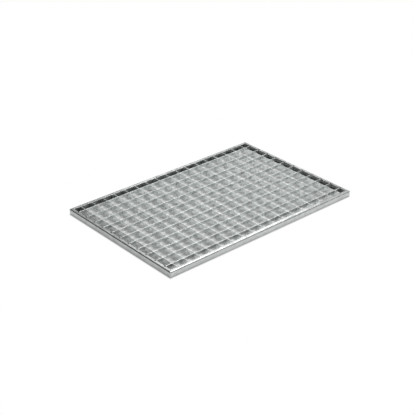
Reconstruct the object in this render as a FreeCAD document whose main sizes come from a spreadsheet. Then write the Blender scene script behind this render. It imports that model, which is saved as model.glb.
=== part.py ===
import FreeCAD, Part
import math
import os
import Sketcher
from FreeCAD import Placement, Rotation, Vector

# Doormat grate: a press-locked steel grating inside a mitred edging of U-channel, which opens inwards.
# Millimetres. Origin at the middle of the underside, +X along the grate, +Y away from the viewer, +Z up.

doc = FreeCAD.newDocument("doormat_grate")

# Driving dimensions
SIZES = [
    ("length", 590),          # outside, along X
    ("width", 390),           # outside, along Y
    ("height", 16),           # underside to walking surface, which edging and bars share
    ("channel_wall", 1.5),    # sheet that the edging is rolled from
    ("flange_width", 9),      # top and bottom lips of the edging, from its outer face
    ("bend_radius", 2.5),     # outer radius of the two bends in the edging
    ("bar_pitch", 33.33),     # from bar to bar, the same both ways
    ("bar_thickness", 2),     # all bars stand on edge
    ("cross_bar_depth", 9),   # cross bars, measured down from the walking surface
    ("lip_clearance", 0.5),   # between the shoulder near each bar's end and the edge of the upper lip
]

sheet = doc.addObject("Spreadsheet::Sheet", "Sizes")
for row, (alias, value) in enumerate(SIZES, start=1):
    sheet.set(f"A{row}", alias)
    sheet.set(f"B{row}", str(value))
    sheet.setAlias(f"B{row}", alias)
doc.recompute()


def plane_of(body, role):
    """The body's own origin plane with this role."""
    return next(feature for feature in body.Origin.OriginFeatures if feature.Role == role)


def sketch_on(body, role, name):
    sketch = body.newObject("Sketcher::SketchObject", name)
    sketch.AttachmentSupport = [(plane_of(body, role), "")]
    sketch.MapMode = "FlatFace"
    return sketch


def size_constraint(sketch, name, expression, *arguments):
    """A named dimension of the sketch, driven by the sheet."""
    index = sketch.addConstraint(Sketcher.Constraint(*arguments))
    sketch.renameConstraint(index, name)
    sketch.setExpression(f"Constraints.{name}", expression)


# In the constraints of both sketches, a line or arc has 1 as its start, 2 as its end and 3 as its centre.
# Geometry -1 is the sketch's X axis, with the origin as its point 1, and geometry -2 is the Y axis.


def bend(centre_height, radius, start_degrees):
    """A quarter turn of the rolled sheet, centred one bend radius in from the outer face."""
    circle = Part.Circle(Vector(sheet.bend_radius, centre_height, 0), Vector(0, 0, 1), radius)
    start = math.radians(start_degrees)
    return Part.ArcOfCircle(circle, start, start + math.pi / 2)


def draw_channel_section(sketch):
    """The U: web on the sketch's Y axis, lips pointing to +X, underside on the X axis."""
    lip = sheet.flange_width
    wall = sheet.channel_wall
    top = sheet.height
    radius = sheet.bend_radius
    inner_radius = radius - wall

    def line(x1, y1, x2, y2):
        return sketch.addGeometry(Part.LineSegment(Vector(x1, y1, 0), Vector(x2, y2, 0)))

    underside = line(lip, 0, radius, 0)
    web_outside = line(0, radius, 0, top - radius)
    walking_face = line(radius, top, lip, top)
    upper_tip = line(lip, top, lip, top - wall)
    upper_inside = line(lip, top - wall, radius, top - wall)
    web_inside = line(wall, top - radius, wall, radius)
    lower_inside = line(radius, wall, lip, wall)
    lower_tip = line(lip, wall, lip, 0)
    lower_bend = sketch.addGeometry(bend(radius, radius, 180))
    upper_bend = sketch.addGeometry(bend(top - radius, radius, 90))
    upper_inner_bend = sketch.addGeometry(bend(top - radius, inner_radius, 90))
    lower_inner_bend = sketch.addGeometry(bend(radius, inner_radius, 180))

    for first, first_end, second, second_end in [
        (underside, 2, lower_bend, 2),
        (lower_bend, 1, web_outside, 1),
        (web_outside, 2, upper_bend, 2),
        (upper_bend, 1, walking_face, 1),
        (upper_inside, 2, upper_inner_bend, 1),
        (upper_inner_bend, 2, web_inside, 1),
        (web_inside, 2, lower_inner_bend, 1),
        (lower_inner_bend, 2, lower_inside, 1),
    ]:
        sketch.addConstraint(Sketcher.Constraint("Tangent", first, first_end, second, second_end))
    for first, first_end, second, second_end in [
        (walking_face, 2, upper_tip, 1),
        (upper_tip, 2, upper_inside, 1),
        (lower_inside, 2, lower_tip, 1),
        (lower_tip, 2, underside, 1),
        (lower_bend, 3, lower_inner_bend, 3),
        (upper_bend, 3, upper_inner_bend, 3),
    ]:
        sketch.addConstraint(Sketcher.Constraint("Coincident", first, first_end, second, second_end))
    for level in (underside, walking_face, upper_inside, lower_inside):
        sketch.addConstraint(Sketcher.Constraint("Horizontal", level))
    for upright in (web_outside, upper_tip, web_inside, lower_tip):
        sketch.addConstraint(Sketcher.Constraint("Vertical", upright))
    sketch.addConstraint(Sketcher.Constraint("PointOnObject", underside, 1, -1))
    sketch.addConstraint(Sketcher.Constraint("PointOnObject", web_outside, 1, -2))
    sketch.addConstraint(Sketcher.Constraint("Equal", lower_bend, upper_bend))

    size_constraint(sketch, "bend", "Sizes.bend_radius", "Radius", lower_bend, radius)
    size_constraint(sketch, "depth", "Sizes.height", "DistanceY", -1, 1, walking_face, 1, top)
    size_constraint(sketch, "wall", "Sizes.channel_wall", "DistanceX", -1, 1, web_inside, 1, wall)
    size_constraint(sketch, "upper_lip", "Sizes.flange_width", "DistanceX", -1, 1, upper_tip, 1, lip)
    size_constraint(sketch, "lower_lip", "Sizes.flange_width", "DistanceX", -1, 1, lower_tip, 1, lip)


def draw_mitre(sketch, side, run):
    """The right-angled triangle cut off one end (side is +1 or -1), its long edge on the mitre line."""
    lip = sheet.flange_width
    corner_x = sheet.get(run) / 2 + lip
    corner = Vector(side * corner_x, 2 * lip, 0)
    outer = Vector(side * corner_x, -lip, 0)
    inner = Vector(side * (corner_x - 3 * lip), 2 * lip, 0)

    along = sketch.addGeometry(Part.LineSegment(inner, corner))
    across = sketch.addGeometry(Part.LineSegment(corner, outer))
    mitre = sketch.addGeometry(Part.LineSegment(outer, inner))
    for first, second in ((along, across), (across, mitre), (mitre, along)):
        sketch.addConstraint(Sketcher.Constraint("Coincident", first, 2, second, 1))
    sketch.addConstraint(Sketcher.Constraint("Horizontal", along))
    sketch.addConstraint(Sketcher.Constraint("Vertical", across))
    sketch.addConstraint(Sketcher.Constraint("Equal", along, across))

    end = "right" if side > 0 else "left"
    left_to_right = (-1, 1, along, 2) if side > 0 else (along, 2, -1, 1)
    place = f"Sizes.{run} / 2 + Sizes.flange_width"
    inset = "2 * Sizes.flange_width"
    leg = "3 * Sizes.flange_width"
    size_constraint(sketch, f"{end}_place", place, "DistanceX", *left_to_right, corner_x)
    size_constraint(sketch, f"{end}_inset", inset, "DistanceY", -1, 1, along, 2, 2 * lip)
    size_constraint(sketch, f"{end}_leg", leg, "Distance", along, 3 * lip)


def edge_channel(label, run, turn, base_x, base_y):
    """One length of edging: made along its own X with its outer face at y = 0, then turned to its side."""
    body = doc.addObject("PartDesign::Body", label)
    body.Label = label

    section = sketch_on(body, "YZ_Plane", f"{label}_section")
    draw_channel_section(section)
    rolled = body.newObject("PartDesign::Pad", f"{label}_rolled")
    rolled.Profile = section
    rolled.SideType = "Symmetric"
    rolled.setExpression("Length", f"Sizes.{run}")
    doc.recompute()
    rolled_volume = rolled.Shape.Volume

    ends = sketch_on(body, "XY_Plane", f"{label}_mitres")
    draw_mitre(ends, 1, run)
    draw_mitre(ends, -1, run)
    mitred = body.newObject("PartDesign::Pocket", f"{label}_mitred")
    mitred.Profile = ends
    mitred.Type = "ThroughAll"
    mitred.SideType = "Symmetric"
    body.Tip = mitred

    body.Placement = Placement(Vector(0, 0, 0), Rotation(Vector(0, 0, 1), turn))
    body.setExpression("Placement.Base.x", base_x)
    body.setExpression("Placement.Base.y", base_y)
    doc.recompute()
    if mitred.Shape.Volume >= rolled_volume:
        raise RuntimeError(f"{label}: the mitres cut nothing")
    return body


def bar_count(run):
    """As many bars as leave between half a pitch and a whole one outside the last bar."""
    return int(sheet.get(run) // sheet.bar_pitch)


def across_pattern(index, count):
    """Lowest side of one bar in a row of bars that is centred on the grate."""
    return f"{index - (count - 1) / 2} * Sizes.bar_pitch - Sizes.bar_thickness / 2"


def block(name, size, base):
    """A straight-sided block, its three sizes and its lowest corner given as expressions."""
    box = doc.addObject("Part::Box", name)
    for side, expression in zip(("Length", "Width", "Height"), size):
        box.setExpression(side, expression)
    for axis, expression in zip("xyz", base):
        box.setExpression(f"Placement.Base.{axis}", expression)
    return box


def centred_block(name, inset, height, bottom):
    """A block over the whole plan of the grate, less the same inset all round."""
    return block(
        name,
        (f"Sizes.length - 2 * ({inset})", f"Sizes.width - 2 * ({inset})", height),
        (f"{inset} - Sizes.length / 2", f"{inset} - Sizes.width / 2", bottom),
    )


def crossed_bars():
    """All bars at full length, flush with the walking surface and joined where they cross."""
    bars = []
    columns = bar_count("length")
    for index in range(columns):
        bars.append(block(
            f"bearing_bar_{index + 1}",
            (
                "Sizes.bar_thickness",
                "Sizes.width - 2 * Sizes.bend_radius",
                "Sizes.height - Sizes.channel_wall",
            ),
            (
                across_pattern(index, columns),
                "Sizes.bend_radius - Sizes.width / 2",
                "Sizes.channel_wall",
            ),
        ))
    rows = bar_count("width")
    for index in range(rows):
        bars.append(block(
            f"cross_bar_{index + 1}",
            (
                "Sizes.length - 2 * Sizes.bend_radius",
                "Sizes.bar_thickness",
                "Sizes.cross_bar_depth",
            ),
            (
                "Sizes.bend_radius - Sizes.length / 2",
                across_pattern(index, rows),
                "Sizes.height - Sizes.cross_bar_depth",
            ),
        ))
    crossed = doc.addObject("Part::MultiFuse", "crossed_bars")
    crossed.Shapes = bars
    crossed.Refine = True
    print(f"grating: {columns} bearing bars, {rows} cross bars, {columns * rows} crossings")
    return crossed


def cut(name, base, tool):
    result = doc.addObject("Part::Cut", name)
    result.Label = name
    result.Base = base
    result.Tool = tool
    result.Refine = True
    return result


def grating_mesh():
    """The crossed bars, their ends notched by one sheet thickness so that they slide in under the lip."""
    bottom = "Sizes.height - Sizes.channel_wall"
    shoulder = "Sizes.flange_width + Sizes.lip_clearance"
    around = centred_block("notch_outside", "0", "Sizes.channel_wall", bottom)
    within = centred_block("notch_inside", shoulder, "Sizes.channel_wall", bottom)
    notch = cut("end_notch", around, within)
    return cut("grating_mesh", crossed_bars(), notch)


pieces = [
    grating_mesh(),
    edge_channel("front_channel", "length", 0, "0", "-Sizes.width / 2"),
    edge_channel("back_channel", "length", 180, "0", "Sizes.width / 2"),
    edge_channel("left_channel", "width", -90, "-Sizes.length / 2", "0"),
    edge_channel("right_channel", "width", 90, "Sizes.length / 2", "0"),
]
doc.recompute()

for thing in doc.Objects:
    if "Invalid" in thing.State or "Error" in thing.State:
        raise RuntimeError(f"{thing.Label} failed: {thing.State}")
for piece in pieces:
    if piece.Shape.isNull() or not piece.Shape.isValid():
        raise RuntimeError(f"{piece.Label} has no valid shape")

os.makedirs("parts", exist_ok=True)
for piece in pieces:
    piece.Shape.exportStep(f"parts/{piece.Label}.step")
    box = piece.Shape.BoundBox
    print(
        f"{piece.Label}: {len(piece.Shape.Solids)} solid, {piece.Shape.Volume / 1000:.2f} cm3,"
        f" {box.XLength:.2f} x {box.YLength:.2f} x {box.ZLength:.2f} mm"
    )
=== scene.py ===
# %% [markdown]
# A doormat grate, finished in Blender.
#
# The grate is a flat steel grating in an edging of U-channel, dipped in molten zinc after it was welded.
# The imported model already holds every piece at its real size. This lesson remodels the pieces with the
# rounded edges and zinc fillets that dipping leaves, gives them a zinc finish, and lights and frames them.
# Everything is in metres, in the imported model's own frame: +X along the grate, +Z up, floor at zero.

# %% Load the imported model
import math
import bpy
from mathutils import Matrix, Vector


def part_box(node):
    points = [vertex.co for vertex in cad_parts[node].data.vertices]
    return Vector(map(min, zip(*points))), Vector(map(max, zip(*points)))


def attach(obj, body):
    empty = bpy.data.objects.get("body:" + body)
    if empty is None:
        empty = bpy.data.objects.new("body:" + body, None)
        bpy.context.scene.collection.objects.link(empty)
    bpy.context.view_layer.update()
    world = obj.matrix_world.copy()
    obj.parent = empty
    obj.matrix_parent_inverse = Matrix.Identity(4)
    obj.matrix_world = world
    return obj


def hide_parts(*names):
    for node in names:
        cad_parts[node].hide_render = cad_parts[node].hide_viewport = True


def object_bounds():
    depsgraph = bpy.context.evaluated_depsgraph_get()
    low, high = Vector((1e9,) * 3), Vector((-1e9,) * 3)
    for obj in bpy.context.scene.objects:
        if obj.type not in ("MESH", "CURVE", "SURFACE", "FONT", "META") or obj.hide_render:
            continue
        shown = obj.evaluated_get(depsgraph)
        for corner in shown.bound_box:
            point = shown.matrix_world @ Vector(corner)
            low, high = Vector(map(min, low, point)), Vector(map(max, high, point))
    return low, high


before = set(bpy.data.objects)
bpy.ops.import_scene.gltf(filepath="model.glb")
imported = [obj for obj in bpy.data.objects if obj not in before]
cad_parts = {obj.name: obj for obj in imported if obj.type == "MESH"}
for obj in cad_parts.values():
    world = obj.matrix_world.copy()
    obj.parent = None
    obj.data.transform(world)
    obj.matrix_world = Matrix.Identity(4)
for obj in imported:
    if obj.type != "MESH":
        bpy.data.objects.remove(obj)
cad_low, cad_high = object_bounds()
MM = 0.001
length, width, height = cad_high - cad_low
print("packed model", [round(side / MM, 2) for side in (length, width, height)], "mm")

# %% [markdown]
# The grating. Bearing bars span the short way. Cross bars are shallower, run the long way, and are pressed
# into slots in the bearing bars, so that all tops are flush with the edging. Every bar's end is notched by
# the thickness of the edging's sheet and slides in under its upper lip.
# The zinc rounds every arris and leaves a small fillet in each corner where bars cross.
# The grating could be made from whole bars and a Boolean union, but a union leaves ragged faces that won't
# take a clean bevel. So one crossing is modelled, open at the ends of its four arms, and an array repeats it.

# %% Sizes of the grating
BAR_PITCH = 33.33 * MM
BAR_THICKNESS = 2 * MM
CROSS_BAR_DEPTH = 9 * MM

mesh_low, mesh_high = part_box("grating_mesh")
columns = int(length // BAR_PITCH)
rows = int(width // BAR_PITCH)
first_x = -(columns - 1) / 2 * BAR_PITCH
first_y = -(rows - 1) / 2 * BAR_PITCH
half_bar = BAR_THICKNESS / 2
half_pitch = BAR_PITCH / 2
cross_bottom = mesh_high.z - CROSS_BAR_DEPTH
print(f"{columns} bearing bars and {rows} cross bars")

# %% [markdown]
# Modelling here goes as it does by hand: add a primitive at its size and place, go into edit mode, pick
# faces or edges, and run an operator on them. An operator acts on all that is selected, so each step
# starts from an empty selection. The crossing starts as a block of bearing bar. Three flat cuts mark the
# faces that the cross bar will grow from.

# %% One crossing: a block of bearing bar, cut where the cross bar meets it
def active():
    return bpy.context.view_layer.objects.active


def block(name, low, high):
    """A cube primitive stretched between two corners, with its place in its mesh."""
    bpy.ops.object.select_all(action="DESELECT")
    bpy.ops.mesh.primitive_cube_add(size=1, location=(low + high) / 2, scale=high - low)
    bpy.ops.object.transform_apply(location=True, rotation=True, scale=True)
    active().name = name
    active().data.name = name
    return active()


def cut(place, normal, trim=False):
    """Slice the whole piece with a plane; trim throws away the side that the normal points to."""
    bpy.ops.mesh.select_all(action="SELECT")
    bpy.ops.mesh.bisect(plane_co=place, plane_no=normal, clear_outer=trim, use_fill=trim)


grating = block(
    "grating_bars",
    Vector((first_x - half_bar, first_y - half_pitch, mesh_low.z)),
    Vector((first_x + half_bar, first_y + half_pitch, mesh_high.z)),
)
bpy.ops.object.mode_set(mode="EDIT")
cut((0, first_y - half_bar, 0), (0, 1, 0))
cut((0, first_y + half_bar, 0), (0, 1, 0))
cut((0, 0, cross_bottom), (0, 0, 1))
print(f"{grating.name}: a block {BAR_PITCH / MM:.2f} mm long with three cuts")

# %% [markdown]
# Picking is done by place, with a test on the midpoint of each face, edge or point. The two faces that the
# cuts have marked are extruded sideways into the cross bar's arms. The end faces of all four arms are then
# deleted, so that no wall is left inside the bars when neighbouring crossings are merged.

# %% The cross bar's arms, pulled out of both sides
PICK_SLACK = 0.02 * MM


def near(value, target):
    return abs(value - target) < PICK_SLACK


def object_mode():
    bpy.ops.object.mode_set(mode="OBJECT")


def middle_and_line(mesh, edge):
    """An edge's midpoint and its direction."""
    a, b = (mesh.vertices[index].co for index in edge.vertices)
    return (a + b) / 2, (b - a).normalized()


def pick(piece, kind, test):
    """Enter edit mode with just the faces, edges or points selected that pass the test."""
    if piece.mode == "EDIT":
        object_mode()
    bpy.context.tool_settings.mesh_select_mode = [kind == each for each in ("VERT", "EDGE", "FACE")]
    mesh = piece.data
    for part in (*mesh.polygons, *mesh.edges, *mesh.vertices):
        part.select = False
    if kind == "FACE":
        passed = [face for face in mesh.polygons if test(face.center, face.normal)]
    elif kind == "EDGE":
        passed = [edge for edge in mesh.edges if test(*middle_and_line(mesh, edge))]
    else:
        passed = [point for point in mesh.vertices if test(point.co)]
    for part in passed:
        part.select = True
    bpy.ops.object.mode_set(mode="EDIT")
    return len(passed)


def at_arm_end(at, normal):
    return near(abs(at.x - first_x), half_pitch) or near(abs(at.y - first_y), half_pitch)


for side in (-1, 1):
    side_x = first_x + side * half_bar
    pick(
        grating,
        "FACE",
        lambda at, normal: near(at.x, side_x) and near(at.y, first_y) and at.z > cross_bottom,
    )
    arm_reach = side * (half_pitch - half_bar)
    bpy.ops.mesh.extrude_region_move(TRANSFORM_OT_translate={"value": (arm_reach, 0, 0)})

opened = pick(grating, "FACE", at_arm_end)
bpy.ops.mesh.delete(type="FACE")
print(f"{opened} end faces taken off the four arms")

# %% [markdown]
# Molten zinc gathers in inner corners and draws back from sharp edges. The four upright corner edges get a
# bevel that fills them a little, and then every edge that is still sharp gets a small one. A Bevel modifier
# could do both, but it would use one width for all edges, and the operator can be given each kind by itself.

# %% Zinc fillets in the corners, and rounded arrises
ZINC_FILLET = 0.9 * MM
ARRIS_RADIUS = 0.3 * MM
ARRIS_ANGLE = 60
MOSTLY_ALONG = 0.9

corners = pick(
    grating,
    "EDGE",
    lambda at, line: abs(line.z) > MOSTLY_ALONG
    and at.z > cross_bottom
    and near(abs(at.x - first_x), half_bar)
    and near(abs(at.y - first_y), half_bar),
)
bpy.ops.mesh.bevel(offset=ZINC_FILLET, segments=2, affect="EDGES")
bpy.ops.mesh.select_all(action="DESELECT")
bpy.ops.mesh.edges_select_sharp(sharpness=math.radians(ARRIS_ANGLE))
bpy.ops.mesh.bevel(offset=ARRIS_RADIUS, segments=1, affect="EDGES")
object_mode()
print(f"{corners} corners filleted; one crossing has {len(grating.data.polygons)} faces")

# %% [markdown]
# All the crossings are alike, so an Array modifier repeats this one along X and then along Y. Copies made in
# a loop would do too, but Array also merges the open ends where neighbours meet, so the bars become whole.
# Applying the modifier leaves a plain mesh for the next steps.

# %% The crossing repeated both ways
def apply_modifier(piece, kind, **settings):
    bpy.context.view_layer.objects.active = piece
    modifier = piece.modifiers.new(kind.title(), kind)
    for setting, value in settings.items():
        setattr(modifier, setting, value)
    bpy.ops.object.modifier_apply(modifier=modifier.name)


def triangles(piece):
    return sum(len(face.vertices) - 2 for face in piece.data.polygons)


for count, step in ((columns, (BAR_PITCH, 0, 0)), (rows, (0, BAR_PITCH, 0))):
    apply_modifier(
        grating, "ARRAY", count=count, use_relative_offset=False, use_constant_offset=True,
        constant_offset_displace=step, use_merge_vertices=True, merge_threshold=PICK_SLACK,
    )
print(f"{columns * rows} crossings, {triangles(grating)} triangles")

# %% [markdown]
# The outer arms still stop half a pitch outside the last crossing. The bars run on to a shoulder, which stops
# just short of the edging's lip. New pieces of bar could be added there, but moving the points at the open
# ends stretches the arms without a joint, because their section stays the same. The ends are then closed.

# %% Bar ends drawn out to the shoulder
CHANNEL_WALL = 1.5 * MM
FLANGE_WIDTH = 9 * MM
LIP_CLEARANCE = 0.5 * MM

shoulder_inset = FLANGE_WIDTH + LIP_CLEARANCE
arm = (-first_x + half_pitch, -first_y + half_pitch)
shoulder = (length / 2 - shoulder_inset, width / 2 - shoulder_inset)
sides = [(axis, sign) for axis in (0, 1) for sign in (-1, 1)]


def along_axis(axis, distance):
    move = [0, 0, 0]
    move[axis] = distance
    return move


for axis, sign in sides:
    points = pick(grating, "VERT", lambda at: near(at[axis], sign * arm[axis]))
    bpy.ops.transform.translate(value=along_axis(axis, sign * (shoulder[axis] - arm[axis])))
    print(f"{points} points moved on side {'xy'[axis]} {sign:+d}")
bpy.ops.mesh.select_all(action="SELECT")
bpy.ops.mesh.fill_holes(sides=0)
bpy.ops.mesh.normals_make_consistent(inside=False)

# %% [markdown]
# Every bar ends in a tongue that slides in under the lip. Each end face is sliced at the notch, and the part
# of it below the slice is extruded on into the edging. Cutting notches out of longer bars would come to the
# same, but this way no Boolean disturbs the clean faces.

# %% Notches and tongues
notch_z = height - CHANNEL_WALL
tip = (mesh_high.x, mesh_high.y)

for axis, sign in sides:
    ends = pick(grating, "FACE", lambda at, normal: near(at[axis], sign * shoulder[axis]))
    bpy.ops.mesh.bisect(plane_co=(0, 0, notch_z), plane_no=(0, 0, 1))
    pick(grating, "FACE", lambda at, normal: near(at[axis], sign * shoulder[axis]) and at.z < notch_z)
    tongue = along_axis(axis, sign * (tip[axis] - shoulder[axis]))
    bpy.ops.mesh.extrude_region_move(TRANSFORM_OT_translate={"value": tongue})
    print(f"{ends} bar ends notched on side {'xy'[axis]} {sign:+d}")
object_mode()

# %% [markdown]
# The bars are flat on their sides and soft only at their edges. Smooth shading by angle blends the small
# roundings, and weighted normals keep the broad faces flat. More bevel segments would look the same, at many
# times the faces.

# %% The finished grating
BAR_SMOOTHING = 50


def smooth_shading(piece, degrees):
    """Smooth across the small roundings only, with flat faces kept flat."""
    bpy.ops.object.select_all(action="DESELECT")
    piece.select_set(True)
    bpy.context.view_layer.objects.active = piece
    bpy.ops.object.shade_smooth_by_angle(angle=math.radians(degrees))
    apply_modifier(piece, "WEIGHTED_NORMAL", keep_sharp=True)


smooth_shading(grating, BAR_SMOOTHING)
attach(grating, "root")
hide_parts("grating_mesh")
print(f"{grating.name}: {triangles(grating)} triangles")

# %% [markdown]
# The edging. Each side is sheet steel rolled into a U that opens inwards: a web outside, and two lips that
# hold the ends of the bars between them. It could be a profile swept along a path, but a block with its open
# sides deleted is already the shell of that U. Bevelling its two outer edges makes the bends, and Solidify
# gives the sheet its thickness, which keeps the wall even round the bends. Two cuts then shape each end: a
# mitre that leaves a fine seam beside the next length, and one that takes the sharp tip off the corner.

# %% One length of edging
UPPER_BEND = 3.4 * MM
LOWER_BEND = 2.5 * MM
LIP_ROUNDING = 0.45 * MM
SEAM_GAP = 0.16 * MM
CORNER_FLAT = 1 * MM


def level_vector(along, lengthwise, crosswise):
    """A level vector, from its parts along and across an edging that runs along X (0) or Y (1)."""
    return Vector((crosswise, lengthwise, 0) if along else (lengthwise, crosswise, 0))


def edging(name, node, along):
    """The U on the front side (along is 0, X) or the left side (along is 1, Y), mitred at both ends."""
    low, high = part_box(node)
    across = 1 - along
    outer, inner = low[across], high[across]
    channel = block(name, low, high)

    pick(channel, "FACE", lambda at, normal: near(at[across], inner) or abs(normal[along]) > MOSTLY_ALONG)
    bpy.ops.mesh.delete(type="FACE")
    for level, radius in ((high.z, UPPER_BEND), (low.z, LOWER_BEND)):
        pick(channel, "EDGE", lambda at, line: near(at[across], outer) and near(at.z, level))
        bpy.ops.mesh.bevel(offset=radius, segments=6, affect="EDGES")
    object_mode()
    apply_modifier(channel, "SOLIDIFY", thickness=CHANNEL_WALL, offset=-1, use_even_offset=True)
    pick(channel, "EDGE", lambda at, line: abs(line[along]) > MOSTLY_ALONG and near(at[across], inner))
    bpy.ops.mesh.bevel(offset=LIP_ROUNDING, segments=3, affect="EDGES")

    for end, sign in ((low[along], -1), (high[along], 1)):
        mitre = level_vector(along, end - sign * SEAM_GAP, outer)
        cut(mitre, level_vector(along, sign, 1), trim=True)
        blunt = level_vector(along, end - sign * CORNER_FLAT, outer + CORNER_FLAT)
        cut(blunt, level_vector(along, sign, -1), trim=True)
    object_mode()
    return channel


front = edging("front_edging", "front_channel", 0)
left = edging("left_edging", "left_channel", 1)
print(f"{front.name} and {left.name}: {triangles(front)} and {triangles(left)} triangles")

# %% [markdown]
# Spot welds. The photograph shows small dark dots along a short side, one where each cross bar ends. They are
# taken to be spot welds that hold the lip down, each with a small round crater at the lip's inner edge. Dark
# spots in a material could stand in for them, but a form belongs in the mesh. A row of balls, one at the end
# of each cross bar, is cut out of the lip with a Boolean. The craters come before the edging is copied, so
# that both short sides have them.

# %% Weld dimples
DIMPLE_RADIUS = 2.3 * MM
DIMPLE_DEPTH = 1.3 * MM
DIMPLE_INSET = 7.3 * MM

ball_radius = (DIMPLE_RADIUS ** 2 + DIMPLE_DEPTH ** 2) / (2 * DIMPLE_DEPTH)
first_ball = (cad_low.x + DIMPLE_INSET, first_y, height - DIMPLE_DEPTH + ball_radius)
bpy.ops.object.select_all(action="DESELECT")
bpy.ops.mesh.primitive_uv_sphere_add(segments=12, ring_count=16, radius=ball_radius, location=first_ball)
bpy.ops.object.transform_apply(location=True, rotation=True, scale=True)
balls = active()
apply_modifier(
    balls, "ARRAY", count=rows, use_relative_offset=False, use_constant_offset=True,
    constant_offset_displace=(0, BAR_PITCH, 0),
)
apply_modifier(left, "BOOLEAN", operation="DIFFERENCE", solver="EXACT", object=balls)
bpy.data.objects.remove(balls)
print(f"{rows} dimples cut by balls of {ball_radius / MM:.2f} mm radius")

# %% [markdown]
# The grate is the same after half a turn, so the back and right lengths are copies of the front and left
# ones, turned about the middle. Modelling all four would only repeat the same steps. A turn, unlike a
# mirror, keeps the faces pointing outwards.

# %% The opposite sides
EDGING_SMOOTHING = 40


def opposite(piece, name):
    """A copy, with its own mesh, turned half round about the middle of the grate."""
    bpy.ops.object.select_all(action="DESELECT")
    piece.select_set(True)
    bpy.context.view_layer.objects.active = piece
    bpy.ops.object.duplicate(linked=False)
    bpy.ops.transform.rotate(value=math.pi, orient_axis="Z", center_override=(0, 0, 0))
    bpy.ops.object.transform_apply(location=True, rotation=True, scale=True)
    active().name = name
    active().data.name = name
    return active()


for channel in (front, left):
    smooth_shading(channel, EDGING_SMOOTHING)
edgings = {
    "front_channel": front,
    "back_channel": opposite(front, "back_edging"),
    "left_channel": left,
    "right_channel": opposite(left, "right_edging"),
}
for node, piece in edgings.items():
    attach(piece, "root")
    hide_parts(node)
    print(f"{piece.name}: {triangles(piece)} triangles")

# %% [markdown]
# The zinc. A dipped coat is a grey metal, a little green next to white, with crystals a few millimetres
# across that differ slightly in brightness. A fine frost varies its gloss, and slow ripples are left where
# the melt ran off. A photographed texture could give all this, but patterns made by nodes need no file and
# stay sharp at any size. The colour is varied by a Voronoi pattern, one random value for each crystal. The
# roughness and the finest grain come from one noise, and the ripples from a second, coarser one.

# %% The zinc shader
FROST_SIZE = 0.8 * MM
GLOSS_SPREAD = 0.07
GRAIN_STRENGTH = 0.15
GRAIN_HEIGHT = 0.1 * MM
RIPPLE_LENGTH = 25 * MM
RIPPLE_HEIGHT = 0.8 * MM


def add_node(tree, kind, values=None, **settings):
    """A new node, with its settings and the values of its sockets."""
    node = tree.nodes.new(kind)
    for setting, value in settings.items():
        setattr(node, setting, value)
    for socket, value in (values or {}).items():
        node.inputs[socket].default_value = value
    return node


def zinc(name, colour, roughness, crystal, contrast):
    """A dipped zinc coat; crystal is the crystals' size, and contrast how much their brightness differs."""
    material = bpy.data.materials.new(name)
    material.use_nodes = True
    tree = material.node_tree
    link = tree.links.new
    shader = tree.nodes["Principled BSDF"]
    shader.inputs["Metallic"].default_value = 1.0

    place = add_node(tree, "ShaderNodeTexCoord")
    crystals = add_node(tree, "ShaderNodeTexVoronoi", {"Scale": 1 / crystal})
    frost = add_node(tree, "ShaderNodeTexNoise", {"Scale": 1 / FROST_SIZE, "Detail": 3})
    ripple = add_node(tree, "ShaderNodeTexNoise", {"Scale": 1 / RIPPLE_LENGTH, "Detail": 2})
    for pattern in (crystals, frost, ripple):
        link(place.outputs["Object"], pattern.inputs["Vector"])

    darker = (*[(1 - contrast) * part for part in colour], 1)
    lighter = (*[(1 + contrast) * part for part in colour], 1)
    shade = add_node(tree, "ShaderNodeMix", {"A": darker, "B": lighter}, data_type="RGBA")
    link(crystals.outputs["Color"], shade.inputs["Factor"])
    link(shade.outputs["Result"], shader.inputs["Base Color"])

    glossy, dull = roughness - GLOSS_SPREAD, roughness + GLOSS_SPREAD
    gloss = add_node(tree, "ShaderNodeMapRange", {"To Min": glossy, "To Max": dull})
    link(frost.outputs["Fac"], gloss.inputs["Value"])
    link(gloss.outputs["Result"], shader.inputs["Roughness"])

    waves = add_node(tree, "ShaderNodeBump", {"Strength": 1.0, "Distance": RIPPLE_HEIGHT})
    link(ripple.outputs["Fac"], waves.inputs["Height"])
    grain = add_node(tree, "ShaderNodeBump", {"Strength": GRAIN_STRENGTH, "Distance": GRAIN_HEIGHT})
    link(frost.outputs["Fac"], grain.inputs["Height"])
    link(waves.outputs["Normal"], grain.inputs["Normal"])
    link(grain.outputs["Normal"], shader.inputs["Normal"])
    return material


bar_zinc = zinc("bar_zinc", colour=(0.735, 0.76, 0.748), roughness=0.29, crystal=8 * MM, contrast=0.22)
print("made", bar_zinc.name)

# %% [markdown]
# The bars. In the photograph the broad faces of the cross bars look duller than those of the bearing bars, so
# they get a coat with a higher roughness. Its colour is also lighter than the bars' own zinc, a painted
# lightening that lifts the shade on those faces. One material for all would be simpler, but then the cells
# lose their dark and light sides. A face is a cross bar's side when its normal points mostly along Y.

# %% Zinc on the bars
CROSS_FACE_TURN = 0.7

# Lighter than bar_zinc: a painted lightening of the shade on the cross bars' sides; the higher roughness is
# the coat's own.
cross_face_lightened_zinc = zinc(
    "cross_face_lightened_zinc", colour=(0.785, 0.81, 0.798), roughness=0.48, crystal=8 * MM, contrast=0.22
)


def finish_with(piece, *materials):
    piece.data.materials.clear()
    for material in materials:
        piece.data.materials.append(material)


finish_with(grating, bar_zinc, cross_face_lightened_zinc)
for face in grating.data.polygons:
    face.material_index = 1 if abs(face.normal.y) > CROSS_FACE_TURN else 0
duller = sum(face.material_index for face in grating.data.polygons)
print(f"{duller} of {len(grating.data.polygons)} faces have the duller coat")

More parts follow.
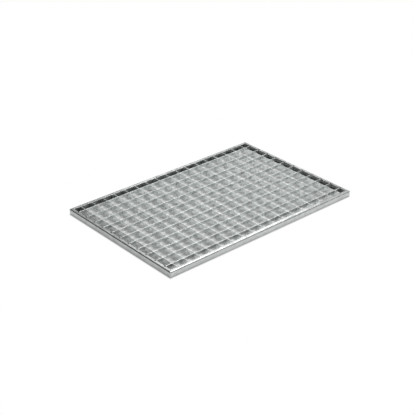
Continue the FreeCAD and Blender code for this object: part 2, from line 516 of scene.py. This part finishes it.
# %% [markdown]
# The edging is smoother sheet, so its coat has more gloss and fainter crystals. The short sides get a darker,
# rougher copy of it, and the darkness is painted shade. The inside of the channel is painted darker, as
# painted shade in its hollow, and has a rougher coat. The weld craters are painted near black, as painted
# shade in the pits, to come near the dark bands and dots in the photograph. Each length carries three
# materials, and every face gets its own by where its middle lies. Splitting the mesh would do the same, but
# then one length of edging would no longer be one piece.

# %% Zinc on the edging
SHORT_SIDES = ("left_channel", "right_channel")
INSIDE_DEPTH = 0.8 * CHANNEL_WALL
OUTSIDE, INSIDE, WELD = 0, 1, 2

long_side_zinc = zinc(
    "long_side_zinc", colour=(0.62, 0.64, 0.63), roughness=0.21, crystal=9 * MM, contrast=0.13
)
# Darker than the long sides' coat: painted shade on the short sides. The higher roughness is the coat's own.
short_side_shaded_zinc = zinc(
    "short_side_shaded_zinc", colour=(0.55, 0.57, 0.56), roughness=0.26, crystal=9 * MM, contrast=0.13
)
# Darker inside the channel: painted shade in the channel's hollow, with a rougher coat.
inside_shade_zinc = zinc("inside_shade_zinc", colour=(0.37, 0.39, 0.38), roughness=0.5, crystal=8 * MM, contrast=0.1)
# Near black in the weld craters: painted shade in the pits.
weld_crater_shade = zinc("weld_crater_shade", colour=(0.09, 0.094, 0.09), roughness=0.55, crystal=3 * MM, contrast=0.2)


def edging_material_index(node, at):
    """Which of an edging's three materials the face with this midpoint has; inside and weld craters carry
    painted shade.
    """
    on_short_side = node in SHORT_SIDES
    inset = length / 2 - abs(at.x) if on_short_side else width / 2 - abs(at.y)
    beside_bar = abs((at.y - first_y + half_pitch) % BAR_PITCH - half_pitch)
    over_bar = on_short_side and beside_bar < DIMPLE_RADIUS and inset > DIMPLE_INSET - DIMPLE_RADIUS
    if over_bar and height - DIMPLE_DEPTH < at.z < height - PICK_SLACK:
        return WELD
    return INSIDE if inset > INSIDE_DEPTH and INSIDE_DEPTH < at.z < height - INSIDE_DEPTH else OUTSIDE


for node, piece in edgings.items():
    finish_with(piece, short_side_shaded_zinc if node in SHORT_SIDES else long_side_zinc, inside_shade_zinc, weld_crater_shade)
    counts = [0, 0, 0]
    for face in piece.data.polygons:
        face.material_index = edging_material_index(node, face.center)
        counts[face.material_index] += 1
    print(f"{piece.name}: {counts} faces outside, inside the channel and in weld dimples")

# %% [markdown]
# The camera stands where the photograph was taken from: a little above the grate, off its front left corner,
# with a longish lens. Its place was worked out from the four corners of the edging in the picture. Placing it
# by eye would do for a sketch, but then the bars would not line up.

# %% Camera
CAMERA_AZIMUTH = -41.2
CAMERA_ELEVATION = 28.6
CAMERA_DISTANCE = 2.571
CAMERA_AIM = Vector((-35.6 * MM, -23.6 * MM, height))
FOCAL_PIXELS = 1046
IMAGE_PIXELS = 415
SENSOR_MM = 36


def seen_from_camera(right, elevation):
    """The direction of a point on the sky: degrees to the right of what lies behind the grate, and up."""
    turn = math.radians(CAMERA_AZIMUTH - right)
    tilt = math.radians(elevation)
    return Vector((-math.sin(turn) * math.cos(tilt), math.cos(turn) * math.cos(tilt), math.sin(tilt)))


to_camera = seen_from_camera(180, CAMERA_ELEVATION)
bpy.ops.object.camera_add(location=CAMERA_AIM + to_camera * CAMERA_DISTANCE)
camera = active()
camera.rotation_mode = "QUATERNION"
camera.rotation_quaternion = (-to_camera).to_track_quat("-Z", "Y")
camera.data.sensor_width = SENSOR_MM
camera.data.lens = FOCAL_PIXELS / IMAGE_PIXELS * SENSOR_MM
bpy.context.scene.camera = camera
bpy.context.scene.view_settings.view_transform = "Standard"
print(f"lens {camera.data.lens:.1f} mm")

# %% [markdown]
# The studio floor is pale paper. Under the grate it is plain matt paper, which carries the soft shadow of
# the bars. Outside the grate's outline it glows, as a lit paper sweep does, so that the background comes out
# white. Stronger lamps could make it white too, but they would also bleach the steel.

# %% Paper floor
FLOOR_SIZE = 60.0
FLOOR_DROP = 0.1 * MM
PAPER_COLOUR = (0.81, 0.82, 0.815, 1)

bpy.ops.object.select_all(action="DESELECT")
bpy.ops.mesh.primitive_plane_add(size=FLOOR_SIZE, location=(0, 0, -FLOOR_DROP))
floor = active()
floor.name = "floor"

paper = bpy.data.materials.new("floor_paper")
paper.use_nodes = True
finish_with(floor, paper)
tree = paper.node_tree
link = tree.links.new
tree.nodes.clear()
out = add_node(tree, "ShaderNodeOutputMaterial")
matt = add_node(tree, "ShaderNodeBsdfDiffuse", {"Color": PAPER_COLOUR})
glow = add_node(tree, "ShaderNodeEmission", {"Strength": 1.0})
print("floor", FLOOR_SIZE, "m square")

# %% [markdown]
# How far a point of the floor lies outside the outline is worked out from its X and Y. The outline is the
# same on all sides of the middle, so their absolute values are enough, and the larger of the two distances
# counts. It is negative under the grate.

# %% Distance from the grate's outline
place = add_node(tree, "ShaderNodeTexCoord")
unsigned = add_node(tree, "ShaderNodeVectorMath", operation="ABSOLUTE")
beyond = add_node(tree, "ShaderNodeVectorMath", {1: (length / 2, width / 2, 0)}, operation="SUBTRACT")
parts = add_node(tree, "ShaderNodeSeparateXYZ")
distance = add_node(tree, "ShaderNodeMath", operation="MAXIMUM")
link(place.outputs["Object"], unsigned.inputs[0])
link(unsigned.outputs[0], beyond.inputs[0])
link(beyond.outputs[0], parts.inputs[0])
link(parts.outputs["X"], distance.inputs[0])
link(parts.outputs["Y"], distance.inputs[1])
print(f"outline {length / MM:.0f} x {width / MM:.0f} mm")

# %% [markdown]
# The glow rises across the outline, from just inside it to just outside. The camera sees it rise over a few
# millimetres, which leaves a fine contact shadow at the edging's foot. What the steel mirrors rises over a
# wider strip and stays weaker, so that the faces of the edging stay grey. Light Path tells the kinds of ray
# apart, and each kind adds its own share.

# %% Glow outside the outline
SEEN_RAMP = 3 * MM
SEEN_GLOW = 1.0
MIRRORED_RAMP = 9 * MM
MIRRORED_GLOW = 0.3

path = add_node(tree, "ShaderNodeLightPath")
share = None
for ray, ramp, brightest in (
    ("Is Camera Ray", SEEN_RAMP, SEEN_GLOW),
    ("Is Glossy Ray", MIRRORED_RAMP, MIRRORED_GLOW),
    ("Is Transmission Ray", MIRRORED_RAMP, MIRRORED_GLOW),
):
    rise = {"From Min": -ramp, "From Max": ramp, "To Max": brightest}
    sweep = add_node(tree, "ShaderNodeMapRange", rise)
    counted = add_node(tree, "ShaderNodeMath", {2: 0}, operation="MULTIPLY_ADD")
    link(distance.outputs[0], sweep.inputs["Value"])
    link(path.outputs[ray], counted.inputs[0])
    link(sweep.outputs["Result"], counted.inputs[1])
    if share:
        link(share, counted.inputs[2])
    share = counted.outputs[0]
    print(f"{ray}: glow up to {brightest} over {2 * ramp / MM:.0f} mm")
mix = add_node(tree, "ShaderNodeMixShader")
link(share, mix.inputs["Fac"])
link(matt.outputs[0], mix.inputs[1])
link(glow.outputs[0], mix.inputs[2])
link(mix.outputs[0], out.inputs["Surface"])

# %% [markdown]
# The light is soft. Steel looks like what it mirrors, so the studio is bright overhead, behind and to the
# right, and falls away to the left: that puts the thin dark line along the outer bend of the edging. A weak
# glow on the camera's side keeps the lips from going black when the grate is seen from behind. A picture of
# a real studio could light it all at once, but two soft patches of sky need no file and are easy to move.

# %% Studio dome
DOME_DARK = 0.05
DOME_BRIGHT = 0.82
DOME_EDGE = 0.35
FILL_BRIGHT = 0.28
FILL_EDGE = 0.45

world = bpy.data.worlds.new("studio_dome")
bpy.context.scene.world = world
world.use_nodes = True
tree = world.node_tree
link = tree.links.new
sky = tree.nodes["Background"]
sky.inputs["Color"].default_value = (1, 1, 1, 1)
place = add_node(tree, "ShaderNodeTexCoord")


def glow_towards(direction, edge, low, high):
    """A soft patch of sky: high in one direction, falling to low where the cosine of the angle is edge."""
    facing = add_node(tree, "ShaderNodeVectorMath", {1: direction}, operation="DOT_PRODUCT")
    levels = {"From Min": edge, "From Max": 1.0, "To Min": low, "To Max": high}
    rise = add_node(tree, "ShaderNodeMapRange", levels, interpolation_type="SMOOTHSTEP")
    link(place.outputs["Generated"], facing.inputs[0])
    link(facing.outputs["Value"], rise.inputs["Value"])
    return rise.outputs["Result"]


dome = glow_towards(seen_from_camera(right=45, elevation=60), DOME_EDGE, DOME_DARK, DOME_BRIGHT)
fill = glow_towards(seen_from_camera(right=172, elevation=35), FILL_EDGE, 0, FILL_BRIGHT)
total = add_node(tree, "ShaderNodeMath", operation="ADD")
link(dome, total.inputs[0])
link(fill, total.inputs[1])
link(total.outputs[0], sky.inputs["Strength"])
print("dome", DOME_DARK, "to", DOME_BRIGHT, "and fill", FILL_BRIGHT)

# %% [markdown]
# A large box overhead makes the soft shadows under the bars, and a small one behind the grate, seen mirrored
# in every level face, makes the highlight on the tops of the bars and lips. Point lamps would be simpler, but
# in steel they show as hard dots.

# %% Soft boxes
def soft_box(name, towards, away, size, brightness):
    """An area lamp aimed at the grate; brightness is how bright its face looks, where 1 is paper white."""
    bpy.ops.object.light_add(type="AREA", location=towards * away)
    lamp = active()
    lamp.name = name
    lamp.rotation_mode = "QUATERNION"
    lamp.rotation_quaternion = towards.to_track_quat("Z", "Y")
    lamp.data.shape = "RECTANGLE"
    lamp.data.size, lamp.data.size_y = size
    lamp.data.energy = brightness * math.pi * size[0] * size[1]
    print(f"{name}: {lamp.data.energy:.1f} W")


overhead = Vector((0.34, 0.22, 1.2)).normalized()
behind = seen_from_camera(right=1.5, elevation=30.5)
soft_box("top_box", overhead, away=2.2, size=(1.45, 1.45), brightness=4.3)
soft_box("back_box", behind, away=2.4, size=(0.85, 0.36), brightness=1.7)
